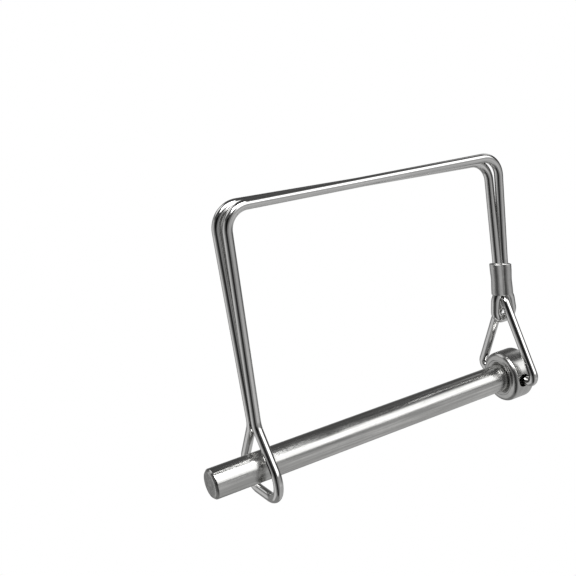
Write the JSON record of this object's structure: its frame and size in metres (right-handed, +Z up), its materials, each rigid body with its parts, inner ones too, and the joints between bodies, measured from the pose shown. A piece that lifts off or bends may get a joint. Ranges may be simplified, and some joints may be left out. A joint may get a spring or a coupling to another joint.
{
  "type": "wire lock pin",
  "caption": "Round hitch pin with a collar head and a square double-wire bail whose eye snaps over the tip so that the pin cannot slide out.",
  "frame": {"origin": "centre of the shoulder, where the shank leaves the face of the head, on the pin's axis", "axes": "-X runs along the shank to its tip, +Z runs up from the pin to the bail's top bar, Y runs across, along the cross hole in the head"},
  "size_m": [0.0809, 0.0196, 0.0609],
  "materials": {
    "pin_steel": "zinc-plated, drawn lengthwise, satin",
    "head_steel": "zinc-plated, turned, satin",
    "wire_steel": "bright zinc-plated spring wire, glossy",
    "ferrule_steel": "dull plated sheet, crimped"
  },
  "bodies": {
    "pin": {"shank": "pin_steel", "head": "head_steel"},
    "yoke": {"stirrup": "wire_steel"},
    "bail": {"ferrule": "ferrule_steel", "bail_wire": "wire_steel"},
    "eye": {"eye_leg": "wire_steel"}
  },
  "joints": [
    {"name": "stirrup_swing", "type": "hinge", "parent": "pin", "child": "yoke", "pos_m": [0.00305, 0, 0], "axis": [0, 1, 0], "range_deg": [0, 210]},
    {"name": "bail_link", "type": "hinge", "parent": "yoke", "child": "bail", "pos_m": [0.00305, 0, 0.0182], "axis": [0, 1, 0], "range_deg": [0, 35]},
    {"name": "eye_flex", "type": "hinge", "parent": "bail", "child": "eye", "pos_m": [-0.0634, 0, 0.0452], "axis": [0, 1, 0], "range_deg": [0, 17], "stiffness_Nm_per_rad": 0.8, "deforming": ["eye_leg"]}
  ]
}
